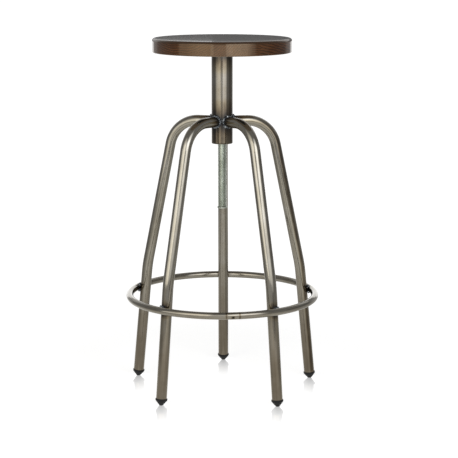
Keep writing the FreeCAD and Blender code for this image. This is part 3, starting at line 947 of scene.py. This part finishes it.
dress(seat_board(), OAK, "oak_seat", "seat", "seat_board")
dress(seat_plate(), PLATE_STEEL, "plate_steel", "seat", "seat_plate")
dress(seat_screws(), ZINC, "zinc_steel", "seat", "seat_screws")
dress(height_screw(), ZINC, "zinc_steel", "seat", "height_screw")
dress(screw_weld(), WELD, "weld_metal", "seat", "screw_weld")
dress(stop_screw(), ZINC, "zinc_steel", "seat", "stop_screw")
dress(stop_washer(), ZINC, "zinc_steel", "lift", "stop_washer")
dress(centre_post(), PIPE, "raw_steel", "frame", "centre_post")
dress(bush("turned_guide_bush", GUIDE_LOW, GUIDE_HIGH), NYLON, "nylon", "frame", "guide_bush")
dress(bush("turned_screw_nut", NUT_LOW, NUT_HIGH), PLATE_STEEL, "plate_steel", "frame", "screw_nut")
dress(foot_ring(), STEEL, "raw_steel", "frame", "foot_ring")
dress(leg_welds(), WELD, "weld_metal", "frame", "leg_welds")
dress(ring_welds(), WELD, "weld_metal", "frame", "ring_welds")
leg = leg_tube()
foot = glide()
for name, bearing in zip(LEG_NAMES, LEG_BEARINGS):
    turn = turn_about_post(bearing)
    placed = copied(leg, "leg_tube_" + name, turn)
    # The right leg gets painted shade along one side
    if name == "right":
        paint_side_shade(placed, SIDE_SHADE_FACING, SIDE_SHADE_SHARE)
    dress(placed, STEEL, "raw_steel", "frame", "leg_" + name)
    dress(copied(foot, "glide_cap_" + name, turn), BLACK_PLASTIC, "black_plastic", "frame", "glide_" + name)
bpy.data.objects.remove(leg)
bpy.data.objects.remove(foot)

# Studio: white floor and surround, soft lamps beside the camera, grey cards seen only in reflections
FLOOR_SIZE = 120.0
FLOOR_LIFT = 0.83
FLOOR_WHITE_SPAN = [0.4, 1.2]
POLISH = 1.75
POLISH_REACH = 0.135
POLISH_SLIMNESS = (3.6, 1, 1)
POLISH_BEHIND = (0, 5, 0)
WORLD_FILL = 0.15


def studio_floor():
    """White floor: polished where the feet stand, white to the horizon, open from below."""
    floor = begin("studio_floor", bpy.ops.mesh.primitive_plane_add, size=FLOOR_SIZE)
    close()
    material, tree, surface = new_material("white_studio_floor")
    place = add_node(tree, "TexCoord").outputs["Object"]
    rays = add_node(tree, "LightPath")
    matt = add_node(tree, "BsdfDiffuse", {"Color": linear("#c8c8c8")})
    # What the camera sees: the lit floor lifted to white, pure white from 1.2 m on
    far = add_node(tree, "VectorMath", [place], operation="LENGTH")
    lift = add_node(tree, "MapRange", [far, *FLOOR_WHITE_SPAN, FLOOR_LIFT, 1.0],
                    interpolation_type="SMOOTHSTEP")
    seen_glow = add_node(tree, "Emission", {"Color": (1, 1, 1, 1), "Strength": lift})
    seen = add_node(tree, "AddShader", [matt, seen_glow])
    # What tubes mirror: a glowing floor with painted light and shade, brighter in front, darker towards the
    # stool and behind it, and to the left and the right
    spot = add_node(tree, "SeparateXYZ", [place])
    depth = add_node(tree, "MapRange", [spot.outputs["Y"], -1.3, 0.3, 1.22, 0.8])
    slant = add_node(tree, "VectorMath", [place, (1, 0.58, 0)], operation="DOT_PRODUCT")
    kept = add_node(tree, "MapRange", [slant, 0.2, 0.45, 1.0, 0.66])
    left = add_node(tree, "MapRange", [spot.outputs["X"], -1.2, -0.5, 0.5, 1.0])
    sides = add_node(tree, "Math", [left, kept], operation="MULTIPLY")
    mirrored_level = add_node(tree, "Math", [depth, sides], operation="MULTIPLY")
    mirrored = add_node(tree, "Emission", {"Color": linear("#fffdf7"), "Strength": mirrored_level})
    glossy = add_node(tree, "Math", [rays.outputs["Is Glossy Ray"], rays.outputs["Is Transmission Ray"]],
                      operation="MAXIMUM")
    # What lights undersides: the bright floor
    bounce = add_node(tree, "Emission", {"Color": (1, 1, 1, 1), "Strength": 0.7})
    lit = add_node(tree, "AddShader", [matt, bounce])
    indirect = add_node(tree, "MixShader", [glossy, lit, mirrored])
    base = add_node(tree, "MixShader", [rays.outputs["Is Camera Ray"], indirect, seen])
    # Polish in front of each foot, fading with distance
    gap = None
    for bearing in LEG_BEARINGS:
        foot_place = turn_about_post(bearing) @ (OUT * FOOT_CIRCLE_RADIUS)
        beside = add_node(tree, "VectorMath", [place, foot_place], operation="SUBTRACT")
        slim = add_node(tree, "VectorMath", [beside, POLISH_SLIMNESS], operation="MULTIPLY")
        behind = add_node(tree, "VectorMath", [beside, (0, 0, 0)], operation="MAXIMUM")
        lopsided = add_node(tree, "VectorMath", [behind, POLISH_BEHIND, slim], operation="MULTIPLY_ADD")
        reach = add_node(tree, "VectorMath", [lopsided], operation="LENGTH")
        gap = reach if gap is None else add_node(tree, "Math", [gap, reach], operation="MINIMUM")
    polish = add_node(tree, "MapRange", [gap, 0.0, POLISH_REACH, POLISH, 0.0])
    fresnel = add_node(tree, "Fresnel", {"IOR": 2.4})
    mirror_share = add_node(tree, "Math", [polish, fresnel], operation="MULTIPLY")
    mirror = add_node(tree, "BsdfAnisotropic", {"Color": (1, 1, 1, 1), "Roughness": 0.06})
    top = add_node(tree, "MixShader", [mirror_share, base, mirror])
    side = add_node(tree, "NewGeometry")
    clear = add_node(tree, "BsdfTransparent")
    whole = add_node(tree, "MixShader", [side.outputs["Backfacing"], top, clear])
    feed(tree, tree.nodes["Material Output"], {"Surface": whole})
    tree.nodes.remove(surface)
    floor.data.materials.append(material)


def grey_card(name, low, high, level):
    """A card that only reflections see, from one corner to the other."""
    low, high = Vector(low), Vector(high)
    card = begin(name, bpy.ops.mesh.primitive_cube_add, size=1, location=(low + high) / 2, scale=high - low)
    close()
    material, tree, surface = new_material(name)
    paint = add_node(tree, "Emission", {"Color": (level, level, level, 1), "Strength": 1.0})
    feed(tree, tree.nodes["Material Output"], {"Surface": paint})
    tree.nodes.remove(surface)
    card.data.materials.append(material)
    for ray in ("camera", "diffuse", "transmission", "shadow"):
        setattr(card, "visible_" + ray, False)


def softbox(name, bearing, distance, width, levels, foot, radiance, stops):
    """An upright soft lamp; its bearing is seen from the stool, in degrees to the right of the camera.

    It brightens from the share at its foot to full, fades to its top, and varies across its face by its
    stops. Its levels are its bottom, the two heights between which it is full, and its top."""
    bottom, full, fading, top = levels
    lamp = bpy.data.lights.new(name, "AREA")
    lamp.shape = "RECTANGLE"
    lamp.size = width
    lamp.size_y = height = top - bottom
    lamp.energy = radiance * math.pi * width * height
    lamp.use_nodes = True
    tree = lamp.node_tree
    face = add_node(tree, "SeparateXYZ", [add_node(tree, "NewGeometry").outputs["Parametric"]])
    across = add_node(tree, "ValToRGB", [face.outputs["X"]], stops=stops)
    rise = add_node(tree, "MapRange", [face.outputs["Y"], 0.0, (full - bottom) / height, foot, 1.0])
    fall = add_node(tree, "MapRange", [face.outputs["Y"], (fading - bottom) / height, 1.0, 1.0, 0.0])
    level = add_node(tree, "Math", [rise, fall], operation="MULTIPLY")
    feed(tree, tree.nodes["Emission"], {"Color": across, "Strength": level})
    holder = bpy.data.objects.new(name, lamp)
    turn = math.radians(bearing)
    holder.location = (distance * math.sin(turn), -distance * math.cos(turn), (bottom + top) / 2)
    holder.rotation_euler = (math.pi / 2, 0, turn)
    holder.visible_camera = False
    scene.collection.objects.link(holder)


def studio_world():
    """White surround for what is seen and mirrored, softer fill for matt surfaces."""
    world = bpy.data.worlds.new("studio_surround")
    world.use_nodes = True
    scene.world = world
    tree = world.node_tree
    tree.nodes.clear()
    rays = add_node(tree, "LightPath")
    seen = add_node(tree, "Math", [rays.outputs["Is Camera Ray"], rays.outputs["Is Glossy Ray"]],
                    operation="MAXIMUM")
    seen = add_node(tree, "Math", [seen, rays.outputs["Is Transmission Ray"]], operation="MAXIMUM")
    level = add_node(tree, "MapRange", {"Value": seen, "To Min": WORLD_FILL, "To Max": 1.0})
    sky = add_node(tree, "Background", {"Color": (1, 1, 1, 1), "Strength": level})
    add_node(tree, "OutputWorld", {"Surface": sky})


studio_floor()
studio_world()
softbox("left_softbox", -41.5, 1.2, 1.303, (0.3, 0.55, 1.15, 2.0), 0.8, 1.85, [
    (0.0, "#95938c"), (0.25, "#b7b4ac"), (0.43, "#e1ded3"), (0.60, "#fffbf0"), (0.78, "#fffbf0"),
    (0.93, "#e6e3d9"), (1.0, "#b4b1a9")])
softbox("right_softbox", 30, 1.2, 1.068, (0.3, 0.85, 1.15, 2.0), 0.0, 2.9, [
    (0.0, "#d5d7da"), (0.25, "#f5f7fa"), (0.50, "#fafcff"), (0.62, "#fafcff"), (0.78, "#cccdd0"),
    (0.90, "#a4a6a8"), (1.0, "#606162")])
for card in (
    ("front_card", (-0.5, -1.62, 0.33), (0.45, -1.6, 1.6), 1.35),
    ("front_rim_card", (-0.5, -1.598, 0.63), (0.45, -1.596, 0.73), 2.1),
    ("front_high_card", (-2.0, -1.62, 1.6), (2.0, -1.6, 2.6), 0.4),
    ("front_low_card", (-1.3, -1.62, 0.02), (0.45, -1.6, 0.33), 0.64),
    ("front_right_low_card", (0.45, -1.62, 0.02), (1.6, -1.6, 0.2), 0.3),
    ("front_right_card", (0.45, -1.62, 0.2), (1.6, -1.6, 0.33), 0.8),
    ("middle_card", (-0.21, -0.805, 0.662), (0.08, -0.8, 0.690), 0.45),
    ("middle_low_card", (-0.21, -0.805, 0.54), (0.08, -0.8, 0.662), 1.15),
    ("ceiling_card", (-2.0, -1.6, 2.6), (2.0, 1.6, 2.62), 0.34),
    ("seat_back_card", (-0.6, 0.6, 0.795), (0.6, 0.605, 0.86), 0.13),
    ("back_card", (-1.1, 1.6, 0.02), (1.1, 1.62, 0.85), 1.4),
    ("back_left_low_card", (-2.0, 1.6, 0.02), (-1.1, 1.62, 0.85), 0.5),
    ("back_right_low_card", (1.1, 1.6, 0.02), (2.0, 1.62, 0.85), 0.45),
    ("back_left_card", (-2.0, 1.6, 0.85), (-0.03, 1.62, 2.6), 0.75),
    ("back_right_card", (-0.03, 1.6, 0.85), (2.0, 1.62, 1.25), 0.3),
    ("back_right_high_card", (-0.03, 1.6, 1.25), (2.0, 1.62, 2.6), 0.95),
    ("left_card", (-2.02, -0.6, 0.02), (-2.0, 1.6, 2.6), 0.34),
    ("left_high_card", (-2.02, -1.6, 1.2), (-2.0, -0.6, 2.6), 0.3),
    ("right_dark_card", (1.98, -0.4, 0.36), (1.99, 1.3, 1.0), 0.24),
    ("right_card", (2.0, -1.9, 0.02), (2.02, 1.6, 1.4), 0.4),
    ("right_high_card", (2.0, -1.9, 1.4), (2.02, 1.6, 2.6), 0.3),
):
    grey_card(*card)

# Camera as the photograph was taken
CAMERA_PLACE = (-0.00729, -3.3323, 0.9891)
CAMERA_PITCH = 0.1850
CAMERA_YAW = 0.0068
CAMERA_LENS = 117.18
camera = bpy.data.cameras.new("camera")
camera.lens = CAMERA_LENS
camera.sensor_width = 36.0
viewer = bpy.data.objects.new("camera", camera)
viewer.location = CAMERA_PLACE
viewer.rotation_euler = (math.pi / 2 - CAMERA_PITCH, 0, -CAMERA_YAW)
scene.collection.objects.link(viewer)
scene.camera = viewer
scene.view_settings.view_transform = "Standard"
